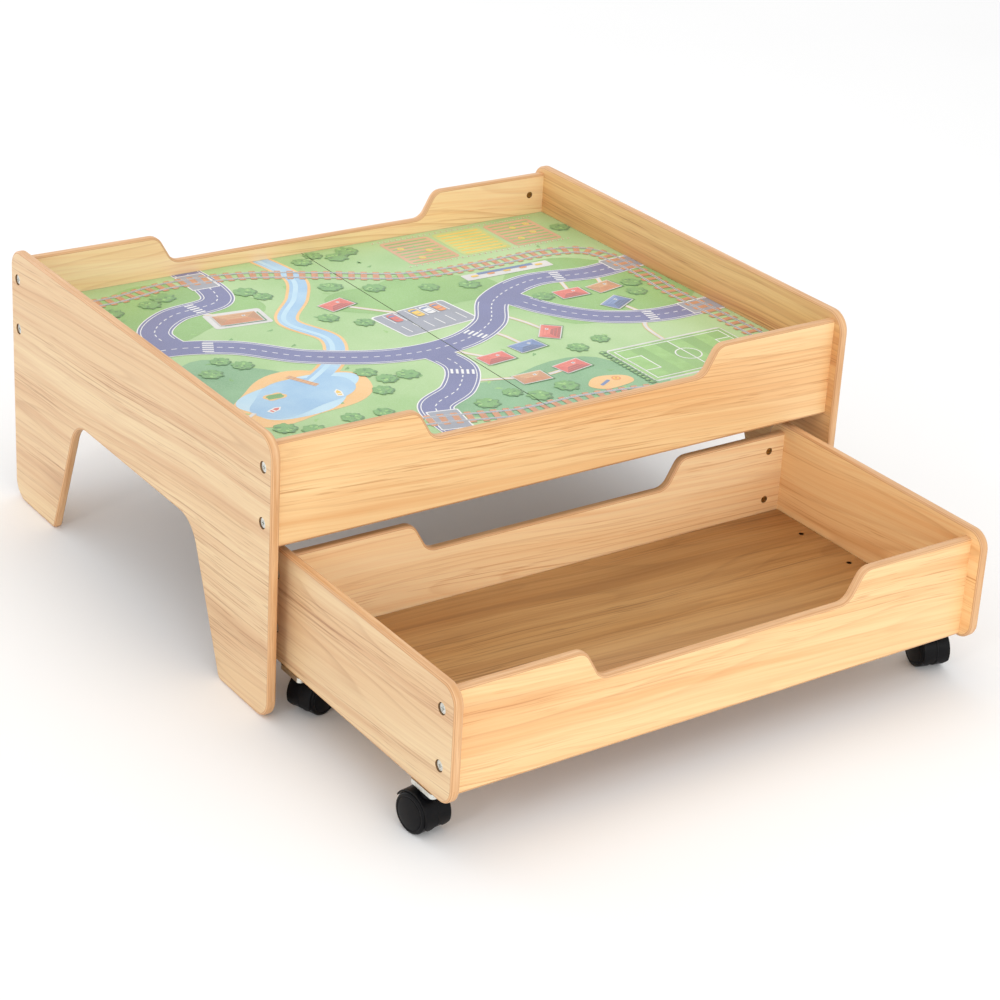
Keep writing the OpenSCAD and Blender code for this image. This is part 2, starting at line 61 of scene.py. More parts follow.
# ---------------------------------------------------------------- materials
class Net:
    """Small helper that builds a material's node tree."""

    def __init__(self, name):
        self.mat = bpy.data.materials.new(name)
        self.mat.use_nodes = True
        self.tree = self.mat.node_tree
        self.tree.nodes.clear()
        out = self.node("OutputMaterial")
        self.bsdf = self.node("BsdfPrincipled")
        self.link(self.bsdf.outputs[0], out.inputs[0])

    def node(self, kind, **values):
        n = self.tree.nodes.new("ShaderNode" + kind)
        for k, v in values.items():
            setattr(n, k, v)
        return n

    def link(self, a, b):
        self.tree.links.new(a, b)

    def put(self, socket, value):
        """Links an output to the socket, or sets a number or a colour of three values."""
        if isinstance(value, bpy.types.NodeSocket):
            self.link(value, socket)
        else:
            socket.default_value = (*value, 1) if isinstance(value, tuple) else value

    def uv(self):
        """The two UV coordinates."""
        sep = self.node("SeparateXYZ")
        self.link(self.node("TexCoord").outputs["UV"], sep.inputs[0])
        return sep.outputs[0], sep.outputs[1]

    def coords(self, kind="Object", scale=(1, 1, 1), shift=(0, 0, 0)):
        mp = self.node("Mapping")
        mp.inputs["Scale"].default_value = scale
        mp.inputs["Location"].default_value = shift
        self.link(self.node("TexCoord").outputs[kind], mp.inputs["Vector"])
        return mp.outputs[0]

    def noise(self, vector, scale, detail=2.0, rough=0.5, distortion=0.0):
        n = self.node("TexNoise")
        values = {"Vector": vector, "Scale": scale, "Detail": detail, "Roughness": rough, "Distortion": distortion}
        for name, value in values.items():
            self.put(n.inputs[name], value)
        return n.outputs[0]

    def math(self, operation, *values):
        n = self.node("Math", operation=operation)
        for socket, value in zip(n.inputs, values):
            self.put(socket, value)
        return n.outputs[0]

    def ramp(self, fac, stops):
        """Grey values at their positions."""
        n = self.node("ValToRGB")
        self.put(n.inputs[0], fac)
        e = n.color_ramp.elements
        while len(e) < len(stops):
            e.new(0.5)
        for i, (position, grey) in enumerate(stops):
            e[i].position = position
            e[i].color = (grey, grey, grey, 1)
        return n.outputs[0]

    def fade(self, fac, low, high, to_low=0.0, to_high=1.0):
        n = self.node("MapRange", clamp=True)
        for socket, value in zip(n.inputs, (fac, low, high, to_low, to_high)):
            self.put(socket, value)
        return n.outputs[0]

    def mix(self, fac, a, b):
        n = self.node("Mix", data_type="RGBA")
        for socket, value in zip((n.inputs[0], n.inputs[6], n.inputs[7]), (fac, a, b)):
            self.put(socket, value)
        return n.outputs[2]

    def over(self, fac, amount, below, above):
        return self.mix(self.math("MULTIPLY", fac, amount), below, above)

    def bump(self, height, strength, distance):
        n = self.node("Bump")
        n.inputs["Strength"].default_value = strength
        n.inputs["Distance"].default_value = distance
        self.link(height, n.inputs["Height"])
        self.link(n.outputs[0], self.bsdf.inputs["Normal"])

    def finish(self, color, roughness, **sockets):
        self.put(self.bsdf.inputs["Base Color"], color)
        self.put(self.bsdf.inputs["Roughness"], roughness)
        for k, v in sockets.items():
            self.bsdf.inputs[k.replace("_", " ")].default_value = v
        return self.mat


def srgb(h):
    c = [int(h[i:i + 2], 16) / 255 for i in (1, 3, 5)]
    return tuple(v / 12.92 if v <= 0.04045 else ((v + 0.055) / 1.055) ** 2.4 for v in c)


def laminate(name, colors, shift, tilt=0.06, depth=1.0):
    """Printed wood-grain laminate; U runs along the grain and V across it, in metres.
    colors: light, mid, dark and line."""
    n = Net(name)
    light, mid, dark, line = map(srgb, colors)
    u, v = n.uv()
    drift = n.noise(n.coords("UV", (1.4, 3.0, 1), shift), 1.0, 1.0, 0.5)
    ripple = n.noise(n.coords("UV", (5.5, 9.0, 1), shift), 1.0, 1.0, 0.5)
    leant = n.math("MULTIPLY_ADD", u, tilt, v)
    across = n.math("MULTIPLY_ADD", ripple, 0.007, n.math("MULTIPLY_ADD", drift, 0.045, leant))

    def field(per_m_along, per_m_across, detail, rough, dx=0.0, dy=0.0, twist=0.0):
        c = n.node("CombineXYZ")
        n.link(n.math("MULTIPLY_ADD", u, per_m_along, shift[0] + dx), c.inputs[0])
        n.link(n.math("MULTIPLY_ADD", across, per_m_across, shift[1] + dy), c.inputs[1])
        return n.noise(c.outputs[0], 1.0, detail, rough, twist)

    broad = field(0.7, 12, 2.0, 0.55, twist=0.2)
    rings = field(0.42, 6.5, 1.1, 0.45, 4.0, 9.0, 0.1)
    saw = n.math("FRACT", n.math("MULTIPLY", rings, 30.0))
    ring_line = n.ramp(saw, [(0.0, 0.0), (0.70, 0.08), (0.94, 1.0), (1.0, 0.0)])
    streaks = field(1.3, 62, 3.0, 0.62, 7.0, 2.0, 0.1)
    fine = field(3.6, 260, 3.0, 0.65)
    hairs = field(4.2, 330, 1.5, 0.5, 2.0, 5.0)
    flecks = field(17, 520, 1.0, 0.5, 3.0, 8.0)
    groups = n.fade(field(0.9, 24, 2.0, 0.55, 9.0, 4.0), 0.44, 0.62, 0.12, 1.0)
    color = n.mix(n.fade(broad, 0.36, 0.64), light, mid)
    color = n.over(n.fade(streaks, 0.46, 0.70), 0.54 * depth, color, dark)
    color = n.over(ring_line, n.fade(broad, 0.40, 0.62, 0.05, 0.34 * depth), color, line)
    color = n.over(n.fade(fine, 0.42, 0.74), 0.26 * depth, color, dark)
    color = n.over(n.fade(hairs, 0.57, 0.68), n.math("MULTIPLY", groups, 0.56 * depth), color, line)
    color = n.over(n.fade(flecks, 0.60, 0.72), n.math("MULTIPLY", groups, 0.46 * depth), color, line)
    color = n.over(n.fade(fine, 0.24, 0.38, 1.0, 0.0), 0.16, color, light)
    n.bump(n.math("ADD", fine, flecks), 0.12, 0.0002)
    return n.finish(color, n.fade(fine, 0.3, 0.8, 0.34, 0.46), Specular_IOR_Level=0.42)


def edge_band(name, light, mid, line):
    """Rounded edge; U runs along the edge in metres and V across it in millimetres from the middle."""
    n = Net(name)
    light, mid, line = map(srgb, (light, mid, line))
    across = n.math("ABSOLUTE", n.uv()[1])
    streak = n.noise(n.coords("UV", (7, 0.9, 1)), 1.0, 4.0, 0.6, 0.15)
    fine = n.noise(n.coords("UV", (30, 2.8, 1)), 1.0, 3.0, 0.6)
    color = n.mix(n.fade(streak, 0.35, 0.68), light, mid)
    color = n.mix(n.fade(fine, 0.5, 0.8, 0.0, 0.35), color, line)
    wobble = n.math("ADD", across, n.fade(streak, 0.0, 1.0, -0.25, 0.25))
    first = n.ramp(n.fade(wobble, 2.2, 3.8), [(0.0, 0.0), (0.5, 1.0), (1.0, 0.0)])
    color = n.over(first, 0.42, color, line)
    second = n.ramp(n.fade(wobble, 5.25, 6.2), [(0.0, 0.0), (0.55, 1.0), (1.0, 0.2)])
    color = n.over(second, 0.5, color, line)
    n.bump(fine, 0.1, 0.0002)
    return n.finish(color, 0.36, Specular_IOR_Level=0.45)


def speckle(name, light, dark, scale, roughness, amount=1.0, stretch=(1, 1, 1), strength=0.15, **sockets):
    """Plain stuff with a fine mottle and bump."""
    n = Net(name)
    light, dark = srgb(light), srgb(dark)
    wide = n.noise(n.coords("Object", stretch), scale, 4.0, 0.6)
    tiny = n.noise(n.coords("Object", stretch), scale * 9, 3.0, 0.6)
    color = n.mix(n.fade(wide, 0.3, 0.7, 0.0, amount), light, dark)
    color = n.mix(n.fade(tiny, 0.45, 0.8, 0.0, 0.3 * amount), color, dark)
    n.bump(tiny, strength, 0.0002)
    return n.finish(color, n.fade(wide, 0.2, 0.8, roughness - 0.05, roughness + 0.07), **sockets)


def printed(name, light, dark, scale):
    """Printed ink under a clear film with slight orange peel, its tones lifted a little towards white as painted haze
    of reflected light.
    """
    n = Net(name)
    # painted haze: every ink tone lifted towards white
    light, dark = (tuple(0.90 * v + 0.085 for v in srgb(h)) for h in (light, dark))
    wide = n.noise(n.coords(), scale, 3.0, 0.55)
    grain = n.noise(n.coords(), 900.0, 1.0, 0.5)
    peel = n.noise(n.coords(), 160.0, 2.0, 0.5)
    color = n.mix(n.fade(wide, 0.34, 0.66), light, dark)
    color = n.mix(n.fade(grain, 0.4, 0.7, 0.0, 0.10), color, (1, 1, 1))
    n.bump(peel, 0.05, 0.0004)
    return n.finish(color, n.fade(wide, 0.2, 0.8, 0.31, 0.39), Specular_IOR_Level=0.5)


WARM = laminate("laminate_warm", ("#fddca5", "#f8cd93", "#e8ab6c", "#bb7438"), (3.1, 7.7, 0))
# paler copy of the laminate above, with painted sheen, for the outer faces of the end panels and the drawer's sides
PALE_PAINTED_SHEEN = laminate("laminate_pale_painted_sheen", ("#ecd1a5", "#e2bd90", "#cc9a71", "#a06c48"), (11.3, 2.9, 0))
# brighter copy with painted light, for the inner faces of the back rail and the drawer's back, which lie in shade
PAINTED_LIGHT = laminate("laminate_painted_light", ("#ffe8bd", "#fddba8", "#f0ba80", "#c67f45"), (1.7, 5.9, 0))
# a little darker copy of the warm laminate with painted shade, for the drawer's front face
FRONT_PAINTED_SHADE = laminate("laminate_front_painted_shade", ("#fbd7a0", "#f6c88f", "#e6a769", "#ba7137"), (3.1, 7.7, 0))
# darker, more orange copy with painted shade, its grain straighter and stronger, for the end panels' inner faces
INNER_PAINTED_SHADE = laminate("laminate_inner_painted_shade", ("#f0c88e", "#e5b377", "#c78859", "#904f29"), (7.7, 4.3, 0), 0.0, 1.2)
EDGE = edge_band("laminate_edge", "#e7bc8d", "#d09a66", "#965e36")
CORE = speckle("board_core", "#a9845a", "#765636", 220, 0.8)
PINE = speckle("planed_softwood", "#e8c793", "#cfa264", 26, 0.55, 0.8, (1, 1, 6))
FIBRE = speckle("panel_fibre", "#4a3a2a", "#33281d", 260, 0.85)
FLOOR = laminate("floor_board", ("#c9a06a", "#b98850", "#976636", "#6f4724"), (5.3, 1.9, 0))
ZINC = speckle("zinc_plate", "#eceeea", "#c6c9c2", 240, 0.30, 0.8, strength=0.08, Metallic=1.0)
BRASS = speckle("yellow_plated", "#b79a63", "#7c6138", 300, 0.36, 0.8, strength=0.1, Metallic=1.0)
BLACK = speckle("black_nylon", "#08080a", "#121215", 420, 0.33, 0.8, strength=0.10, Specular_IOR_Level=0.13)


# ---------------------------------------------------------------- boards
def rounded(points, radii, steps=12):
    """Outline with its corners rounded: [(u, v, corner)], anticlockwise."""
    out = []
    n = len(points)
    for i, r in enumerate(radii):
        a, b, c = (Vector(points[(i + k) % n]) for k in (-1, 0, 1))
        if r == 0:
            out.append((b.x, b.y, i))
            continue
        u, v = (a - b).normalized(), (c - b).normalized()
        half = math.acos(max(-1, min(1, u.dot(v)))) / 2
        mid = b + (u + v).normalized() * r / math.sin(half)
        p, q = b + u * r / math.tan(half) - mid, b + v * r / math.tan(half) - mid
        start = math.atan2(p.y, p.x)
        turn = (math.atan2(q.y, q.x) - start + 3 * math.pi) % (2 * math.pi) - math.pi
        for k in range(steps + 1):
            t = start + turn * k / steps
            out.append((mid.x + r * math.cos(t), mid.y + r * math.sin(t), i))
    return out


def inset(outline, dist, hard):
    """The outline moved inwards by dist, but not along the straight edges that start at its hard corners."""
    n = len(outline)
    edges = []
    for i in range(n):
        (x0, y0, c0), (x1, y1, c1) = outline[i], outline[(i + 1) % n]
        length = math.hypot(x1 - x0, y1 - y0)
        edges.append((-(y1 - y0) / length, (x1 - x0) / length, 0.0 if c0 != c1 and c0 in hard else dist))
    out = []
    for i in range(n):
        (ax, ay, ad), (bx, by, bd) = edges[i - 1], edges[i]
        det = ax * by - ay * bx
        if abs(det) < 1e-4:
            x, y = ax * ad, ay * ad
        else:
            x, y = (ad * by - bd * ay) / det, (ax * bd - bx * ad) / det
        out.append((outline[i][0] + x, outline[i][1] + y))
    return out


def board(node, body, axis, low, outline, hard=(), holes=(), faces_of=(WARM, WARM), flip=0.0):
    """A board with rounded edges. Its outline lies across axis ("x" or "y") and is extruded from low.
    holes: (u, v, radius, side, depth), with side 1 on the face towards +axis. faces_of: finishes of sides -1 and 1.
    flip shifts the grain."""
    half = BOARD_T / 2
    mid = low + half
    arc_steps, hole_steps = 5, 32
    minus_face, band, bore, plus_face = range(4)
    rings = [(EDGE_R + 1.0, half)]
    for j in range(arc_steps, -1, -1):
        a = math.pi / 2 * j / arc_steps
        rings.append((EDGE_R * (1 - math.cos(a)), half - EDGE_R + EDGE_R * math.sin(a)))
    rings += [(i, -w) for i, w in reversed(rings)]
    strips = len(rings) - 1
    verts, faces, mats, uvs = [], [], [], []

    def at(u, v, w):
        return (mid + w, u, v) if axis == "x" else (u, mid + w, v)

    def plane(i):
        return verts[i][1 if axis == "x" else 0], verts[i][2]

    def face_uv(i, side):
        u, v = plane(i)
        return u * MM + flip + (0 if side > 0 else 5.37), v * MM + flip * 1.7 + (0 if side > 0 else 3.11)

    length = [0.0]
    n = len(outline)
    for i in range(n):
        (x0, y0, _), (x1, y1, _) = outline[i], outline[(i + 1) % n]
        length.append(length[-1] + math.hypot(x1 - x0, y1 - y0))
    loops = []
    for d, w in rings:
        loops.append([len(verts) + i for i in range(n)])
        verts += [at(u, v, w) for u, v in inset(outline, d, hard)]
    for j in range(strips):
        strip = plus_face if j == 0 else minus_face if j == strips - 1 else band
        for i in range(n):
            q = [loops[j][i], loops[j + 1][i], loops[j + 1][(i + 1) % n], loops[j][(i + 1) % n]]
            faces.append(q)
            mats.append(strip)
            if strip == band:
                s0, s1 = length[i] * MM + flip, length[i + 1] * MM + flip
                w0, w1 = (half * (1 - 2 * k / (strips - 2)) for k in (j - 1, j))
                uvs.append([(s0, w0), (s0, w1), (s1, w1), (s1, w0)])
            else:
                uvs.append([face_uv(x, 1 if j == 0 else -1) for x in q])
    for side, loop in ((1, loops[0]), (-1, loops[-1])):
        polys = [[Vector((*plane(i), 0)) for i in loop]]
        index = list(loop)
        for u, v, radius, hole_side, depth in holes:
            if hole_side != side:
                continue
            turns = [2 * math.pi * a / hole_steps for a in range(hole_steps)]
            rim = [(u + radius * math.cos(t), v + radius * math.sin(t)) for t in turns]
            top = [len(verts) + a for a in range(hole_steps)]
            verts += [at(x, y, side * half) for x, y in rim]
            bottom = [len(verts) + a for a in range(hole_steps)]
            verts += [at(x, y, side * (half - depth)) for x, y in rim]
            polys.append([Vector((x, y, 0)) for x, y in rim])
            index += top
            following = top[1:] + top[:1], bottom[1:] + bottom[:1]
            walls = [[p, q, r, s] for p, q, s, r in zip(top, bottom, *following)]
            for q in (*walls, bottom):
                faces.append(q)
                mats.append(bore)
                uvs.append([(0, 0)] * len(q))
        for tri in tessellate_polygon(polys):
            q = [index[i] for i in tri]
            faces.append(q)
            mats.append(plus_face if side > 0 else minus_face)
            uvs.append([face_uv(x, side) for x in q])
    ob = mesh(node + "_board", verts, faces, [faces_of[0], EDGE, CORE, faces_of[1]], mats, uvs)
    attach(ob, body)
    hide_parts(node)


def mesh(name, verts, faces, materials, mats=None, uvs=None, sharp=38):
    """A mesh object from points in millimetres, smooth but for edges over sharp degrees."""
    me = bpy.data.meshes.new(name)
    me.from_pydata([(x * MM, y * MM, z * MM) for x, y, z in verts], [], faces)
    for m in materials:
        me.materials.append(m)
    if mats:
        me.polygons.foreach_set("material_index", mats)
    if uvs:
        layer = me.uv_layers.new(name="map")
        layer.data.foreach_set("uv", [c for f in uvs for p in f for c in p])
    ob = bpy.data.objects.new(name, me)
    bpy.context.scene.collection.objects.link(ob)
    if sharp:
        bm = bmesh.new()
        bm.from_mesh(me)
        bmesh.ops.recalc_face_normals(bm, faces=bm.faces[:])
        bm.to_mesh(me)
        bm.free()
    me.polygons.foreach_set("use_smooth", [True] * len(me.polygons))
    if sharp:
        me.set_sharp_from_angle(angle=math.radians(sharp))
    return ob


def moved(outline, du):
    return [(u + du, v, c) for u, v, c in outline]


def dipped(half, low, top, foot):
    """Outline of a rail or panel with a dip in its top edge, foot long at its bottom."""
    depth, slope, r = 40.0, math.radians(60.0), 20.0
    f = foot / 2
    rise = f + depth / math.tan(slope)
    return rounded([(-half, low), (half, low), (half, top), (rise, top), (f, top - depth), (-f, top - depth),
                    (-rise, top), (-half, top)], [0, 0, 0, r, r, r, r, 0])


DIP_ENDS = (1, 7)                      # corners of a dipped outline that start its straight ends
BOLT_SINK = (7.5, 5.0)                 # radius and depth of the seats of the bolts' heads
NUT_BORE = (5.15, 11.0)                # radius and depth of the barrel nuts' bores

# Table: end panels with arched feet, and dipped rails
FOOT_W, ARCH_W, ARCH_H = 124.0, 197.0, 186.5
RAIL_LOW, RAIL_TOP, RAIL_DIP, RAIL_IN = 225.0, 362.0, 415.0, 333.0
TABLE_BOLTS_Z = (331.0, 259.0)
TABLE_NUT_X = 403.0
e = TABLE_HALF_Y
end_outline = rounded([(-e, 0), (FOOT_W - e, 0), (ARCH_W - e, ARCH_H), (e - ARCH_W, ARCH_H), (e - FOOT_W, 0),
                       (e, 0), (e, TABLE_H), (-e, TABLE_H)], [28, 9, 45, 45, 9, 28, 28, 28])
# outer faces paler with painted sheen, inner faces darker and more orange with painted shade
for side, node in ((-1, "left_end_panel"), (1, "right_end_panel")):
    sinks = [(TABLE_Y + s * (RAIL_IN + BOARD_T / 2), z, BOLT_SINK[0], side, BOLT_SINK[1])
             for s in (-1, 1) for z in TABLE_BOLTS_Z]
    board(node, "table", "x", TABLE_HALF_X - BOARD_T if side > 0 else -TABLE_HALF_X, moved(end_outline, TABLE_Y),
          holes=sinks, faces_of=(PALE_PAINTED_SHEEN, INNER_PAINTED_SHADE)[::-side], flip=0.37 + side * 0.9)
# the back rail's inner face brighter with painted light
for side, node in ((-1, "front_rail"), (1, "back_rail")):
    nuts = [(s * TABLE_NUT_X, z, NUT_BORE[0], -side, NUT_BORE[1]) for s in (-1, 1) for z in TABLE_BOLTS_Z]
    board(node, "table", "y", TABLE_Y + (-RAIL_IN - BOARD_T if side < 0 else RAIL_IN),
          dipped(TABLE_HALF_X - BOARD_T, RAIL_LOW, RAIL_TOP, RAIL_DIP), hard=DIP_ENDS, holes=nuts,
          faces_of=(WARM if side < 0 else PAINTED_LIGHT, WARM), flip=1.3 + side * 0.41)

# Drawer: plain side panels, dipped front and back
SIDE_LOW, SIDE_TOP, SIDE_R = 64.0, 215.0, 24.0
PANEL_LOW, PANEL_TOP, PANEL_DIP, PANEL_IN = 67.0, 203.5, 371.0, 20.0
DRAWER_BOLTS_Z = (180.5, 108.5)
DRAWER_NUT_X = 360.5
bolt_y = PANEL_IN + BOARD_T / 2
drawer_in = DRAWER_HALF_X - BOARD_T
side_outline = rounded([(0, SIDE_LOW), (DRAWER_DEPTH, SIDE_LOW), (DRAWER_DEPTH, SIDE_TOP), (0, SIDE_TOP)],
                       [SIDE_R] * 4)
# outer faces paler with painted sheen
for side, node in ((-1, "drawer_left_panel"), (1, "drawer_right_panel")):
    sinks = [(DRAWER_Y + y, z, BOLT_SINK[0], side, BOLT_SINK[1])
             for y in (bolt_y, DRAWER_DEPTH - bolt_y) for z in DRAWER_BOLTS_Z]
    board(node, "drawer", "x", DRAWER_X + (drawer_in if side > 0 else -DRAWER_HALF_X), moved(side_outline, DRAWER_Y),
          holes=sinks, faces_of=(PALE_PAINTED_SHEEN, WARM)[::-side], flip=2.9 + side * 0.63)
# the drawer front's face darker with painted shade, the inner face of its back brighter with painted light
for side, node in ((-1, "drawer_front_panel"), (1, "drawer_back_panel")):
    nuts = [(DRAWER_X + s * DRAWER_NUT_X, z, NUT_BORE[0], -side, NUT_BORE[1])
            for s in (-1, 1) for z in DRAWER_BOLTS_Z]
    board(node, "drawer", "y", DRAWER_Y + (PANEL_IN if side < 0 else DRAWER_DEPTH - PANEL_IN - BOARD_T),
          moved(dipped(drawer_in, PANEL_LOW, PANEL_TOP, PANEL_DIP), DRAWER_X), hard=DIP_ENDS, holes=nuts,
          faces_of=(FRONT_PAINTED_SHADE if side < 0 else PAINTED_LIGHT, WARM), flip=4.1 + side * 0.47)


def floor_board(node, body, bevel=0.6, flip=0.7):
    """The drawer's floor: a plain panel with its upper edges just broken, and its grain along the drawer."""
    (x0, y0, z0), (x1, y1, z1) = (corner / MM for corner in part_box(node))
    verts = []
    for d, z in ((0, z0), (0, z1 - bevel), (bevel, z1)):
        verts += [(x0 + d, y0 + d, z), (x1 - d, y0 + d, z), (x1 - d, y1 - d, z), (x0 + d, y1 - d, z)]
    faces = [[3, 2, 1, 0], [8, 9, 10, 11]]
    faces += [[b + i, b + (i + 1) % 4, b + 4 + (i + 1) % 4, b + 4 + i] for b in (0, 4) for i in range(4)]
    uvs = [[(verts[i][0] * MM + flip, (verts[i][1] + verts[i][2]) * MM + flip) for i in f] for f in faces]
    ob = mesh(node + "_board", verts, faces, [FLOOR], None, uvs, sharp=60)
    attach(ob, body)
    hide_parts(node)


floor_board("drawer_floor", "drawer")

# ---------------------------------------------------------------- casters
WHEEL_R, TRAIL = 25.0, 12.0            # a wheel's radius, and the axle's distance behind the kingpin
HOOD_BACK, HOOD_FRONT = 30.0, 207.0    # angles of the hood's ends about the axle, in degrees
joints = {j["name"]: j for j in frame["joints"]}


def round_faces(n, segments, base=0):
    """Faces between the copies of a closed profile of n points that go round in segments."""
    rows = [(base + s * n, base + (s + 1) % segments * n) for s in range(segments)]
    return [[b + i, c + i, c + (i + 1) % n, b + (i + 1) % n] for b, c in rows for i in range(n)]


def spin(profile, centre, axis, segments=64):
    """Verts and faces of a closed profile [(radius, along)] turned about axis through centre."""
    ax = Vector(axis).normalized()
    up = Vector((0, 0, 1))
    side = ax.cross(up).normalized()
    verts = []
    for s in range(segments):
        t = 2 * math.pi * s / segments
        verts += [tuple(Vector(centre) + ax * w + (up * math.cos(t) + side * math.sin(t)) * r) for r, w in profile]
    return verts, round_faces(len(profile), segments)


def arc(cx, cy, r, a0, a1, steps):
    turns = [math.radians(a0 + (a1 - a0) * i / steps) for i in range(steps + 1)]
    return [(cx + r * math.cos(t), cy + r * math.sin(t)) for t in turns]


def wheel(name, node, body, centre, axis):
    """Wheel with a rounded tread, a groove round the disc and a shallow dome."""
    dome = [(3.06, 2.6), (3.06, 17.5), (0.4, 17.6), (0.4, 21.95), (5, 21.85), (10, 21.55), (15, 21.05), (18.6, 20.55)]
    groove = [(19.4, 20.35), (19.8, 19.75), (20.4, 19.7), (20.9, 20.2), (21.4, 20.35)]
    tread = arc(WHEEL_R - 2.8, 17.2, 2.8, 75, 0, 6)
    tread += [(WHEEL_R, 16.4), (WHEEL_R, 12.0), (WHEEL_R - 0.2, 11.8), (WHEEL_R - 0.2, 11.4), (WHEEL_R, 11.2)]
    tread += [(WHEEL_R, 5.0)] + arc(WHEEL_R - 2.4, 4.9, 2.4, 0, -80, 5)
    hollow = [(21.4, 2.55), (21.2, 9.0), (7.2, 9.2), (7.0, 2.7)]
    verts, faces = spin(dome + groove + tread + hollow, centre, axis)
    ob = mesh(name, verts, faces, [BLACK], sharp=42)
    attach(ob, body)
    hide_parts(node)


def skirt_end(w):
    """Angle at which the hood ends in front, at a distance from its middle: notched there, rounded at both sides."""
    notch = 16.0 * max(0.0, 1.0 - abs(w) / 9.0) ** 1.5
    corner = 9.0 * (max(0.0, abs(w) - 11.5) / 7.0) ** 2
    return HOOD_FRONT - notch - corner


def hood(name, node, body, pin, turn):
    """Moulded fender with rolled sides and a raised seam, closed by the web, and a stepped neck."""
    m = Matrix.Translation((pin[0], pin[1], 0)) @ Matrix.Rotation(turn, 4, "Z")
    outer_r, inner_r, seam_r, inner_w = 28.2, 26.25, 28.6, 17.2
    half = [1.2, 2.2, 3.6, 5.2, 8.0, 12.0, 14.5, 16.3, 17.6]
    outside = [(outer_r, -w) for w in reversed(half)] + [(seam_r, -0.9), (seam_r, 0.9)] + [(outer_r, w) for w in half]
    inside = [(inner_r, max(-inner_w, min(w, inner_w))) for _, w in reversed(outside)]
    left = [(26.3, -18.45), (27.2, -18.5), (28.0, -18.3)]
    section = [(r, -w) for r, w in reversed(left)] + inside + left + outside
    steps = 40
    n, count = len(section), len(inside)
    verts, faces = [], []
    for s in range(steps + 1):
        for r, w in section:
            a = math.radians(HOOD_BACK + (skirt_end(w) - HOOD_BACK) * s / steps)
            verts.append((w, TRAIL + r * math.cos(a), WHEEL_R + r * math.sin(a)))
    for s in range(steps):
        b, c = s * n, (s + 1) * n
        faces += [[b + i, c + i, c + (i + 1) % n, b + (i + 1) % n] for i in range(n)]
    caps = [[0, 1, 2, 3, n - 1], [count + 2, count + 3, count + 4, count + 5, count + 6]]
    caps += [[3 + k, 4 + k, n - 2 - k, n - 1 - k] for k in range(count - 1)]
    faces += caps + [[steps * n + i for i in reversed(cap)] for cap in caps]
    # web between the wheels
    base = len(verts)
    outer = arc(TRAIL, WHEEL_R, 27, 50, 190, 20) + arc(TRAIL, WHEEL_R, 7, 230, 390, 8)
    k = len(outer)
    verts += [(w, y, z) for w in (2.0, -2.0) for y, z in outer]
    faces += [[base + i for i in range(k)], [base + k + i for i in reversed(range(k))]]
    faces += [[base + i, base + (i + 1) % k, base + k + (i + 1) % k, base + k + i] for i in range(k)]
    # neck
    neck = [(12.6, 50.2), (12.2, 52.0), (10.8, 54.6), (10.2, 57.6), (10.0, 58.4), (9.6, 58.7), (4.2, 58.7),
            (4.2, 50.2)]
    base = len(verts)
    steps = 48
    for s in range(steps):
        t = 2 * math.pi * s / steps
        verts += [(r * math.cos(t), r * math.sin(t), z) for r, z in neck]
    faces += round_faces(len(neck), steps, base)
    verts = [tuple(m @ Vector(v)) for v in verts]
    ob = mesh(name, verts, faces, [BLACK], sharp=40)
    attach(ob, body)
    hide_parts(node)


for corner in ("front_left", "front_right", "back_left", "back_right"):
    pin = Vector(joints[corner + "_swivel"]["pos_m"]) / MM
    centre = Vector(joints[corner + "_outer_wheel_spin"]["pos_m"]) / MM
    axle = Vector(joints[corner + "_outer_wheel_spin"]["axis"])
    turn = math.atan2(-(centre.x - pin.x), centre.y - pin.y)
    hood(corner + "_hood_shell", corner + "_hood", corner + "_swivel", pin, turn)
    for which in ("outer", "inner"):
        node = f"{corner}_wheel_{which}"
        low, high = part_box(node)
        away = ((low + high) / 2 / MM - centre).dot(axle)
        wheel(node + "_disc", node, f"{corner}_{which}_wheel", centre, axle * (1 if away > 0 else -1))

# ---------------------------------------------------------------- printed play surface
# Its coordinates run from the middle of the play boards, x to the right and y to the back
rng = random.Random(11)
INK_TABLE = {                          # two tones, and the scale of their mottle
    "meadow": ("#b2d492", "#94c270", 5.0),
    "lawn": ("#8cc063", "#7cb152", 9.0),
    "deep": ("#7fb67f", "#6ba56d", 9.0),
    "crop": ("#c9d477", "#b9c862", 12.0),
    "soil": ("#dba97f", "#cf9a70", 16.0),
    "sand": ("#f6c57c", "#efb866", 12.0),
    "water": ("#8dbde2", "#a9d0ea", 14.0),
    "shallow": ("#bfe0f0", "#b0d8ee", 14.0),
    "road": ("#5a6098", "#6369a0", 20.0),
    "paving": ("#8e939f", "#989dab", 18.0),
    "path": ("#e2e0dc", "#d6d4d2", 20.0),
    "white": ("#f4f4f2", "#ecebea", 30.0),
    "rail": ("#8b8f9b", "#989ca6", 30.0),
    "sleeper": ("#d88d54", "#c87c46", 40.0),
    "roof_red": ("#e2604f", "#d65446", 30.0),
    "roof_dark": ("#b84a40", "#ab433a", 30.0),
    "roof_blue": ("#5f7fb4", "#5674a8", 30.0),
    "roof_tan": ("#c98d5a", "#bb7f4d", 30.0),
    "leaf": ("#6dac50", "#5f9f46", 60.0),
    "leaf_dark": ("#4c8a3f", "#437d38", 60.0),
    "leaf_light": ("#98cc6b", "#8abf5d", 60.0),
    "tile_lit": ("#ee7a64", "#e56c58", 30.0),
    "slate": ("#47628f", "#3f5983", 30.0),
    "tile_blue": ("#7d9ac9", "#718fc0", 30.0),
    "tile_tan": ("#dda873", "#d29b66", 30.0),
    "yellow": ("#f5cb3f", "#eebf33", 40.0),
    "orange": ("#ef9440", "#e68836", 40.0),
}
INK = {name: printed("ink_" + name, *look) for name, look in INK_TABLE.items()}
INKS = list(INK)
